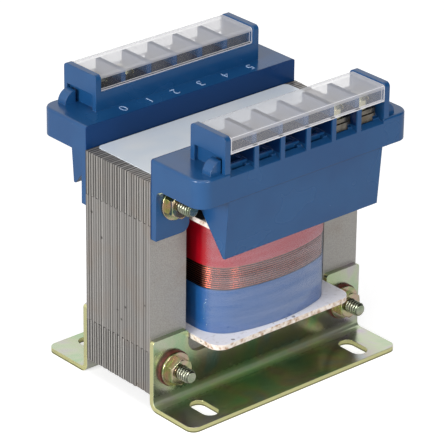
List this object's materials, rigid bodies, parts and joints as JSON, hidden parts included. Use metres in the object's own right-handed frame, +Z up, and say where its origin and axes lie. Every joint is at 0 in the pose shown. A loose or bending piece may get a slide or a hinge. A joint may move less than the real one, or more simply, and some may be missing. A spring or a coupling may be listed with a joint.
{
  "type": "mains transformer",
  "caption": "Open-frame mains transformer: laminated core on two folded feet, one vertical coil, and a covered screw terminal block on each side of its top.",
  "frame": {"origin": "middle of the four feet's footprint, on the surface that the feet stand on", "axes": "+Z up along the coil's axis, +X along the rows of terminals, +Y from the front block to the rear block, through the thickness of the core"},
  "size_m": [0.0762, 0.0672, 0.0853],
  "materials": {
    "silicon_steel": "bare punched edges, oiled, a little rust",
    "pressboard": "white pressboard",
    "enamelled_copper": "enamelled copper wire",
    "insulating_paper": "plain paper",
    "red_tape": "glossy film tape",
    "blue_tape": "glossy film tape",
    "clear_film": "clear glossy film",
    "yellow_zinc": "yellow passivated zinc plate",
    "pale_zinc": "zinc plate",
    "blue_plastic": "moulded, semi-gloss",
    "clear_plastic": "clear moulded plastic",
    "lead_sleeve": "woven sleeve",
    "label_film": "bare silver-white label",
    "red_fibre": "vulcanised fibre"
  },
  "bodies": {
    "root": {"e_laminations": "silicon_steel", "i_laminations": "silicon_steel", "former_tube": "pressboard", "lower_flange": "pressboard", "upper_flange": "pressboard", "primary_winding": "enamelled_copper", "secondary_winding": "enamelled_copper", "winding_insulation": "insulating_paper", "bolt_sleeves": "insulating_paper", "red_tape": "red_tape", "blue_tape": "blue_tape", "clear_film": "clear_film", "front_bracket": "yellow_zinc", "rear_bracket": "yellow_zinc", "front_terminal_block": "blue_plastic", "rear_terminal_block": "blue_plastic", "front_cover": "clear_plastic", "rear_cover": "clear_plastic", "contact_plates": "pale_zinc", "clamp_washers": "pale_zinc", "terminal_screws": "yellow_zinc", "primary_leads": "lead_sleeve", "secondary_leads": "lead_sleeve", "rating_label": "label_film", "core_bolts": "yellow_zinc", "hex_nuts": "yellow_zinc", "flat_washers": "yellow_zinc", "fibre_washers": "red_fibre"}
  },
  "joints": []
}
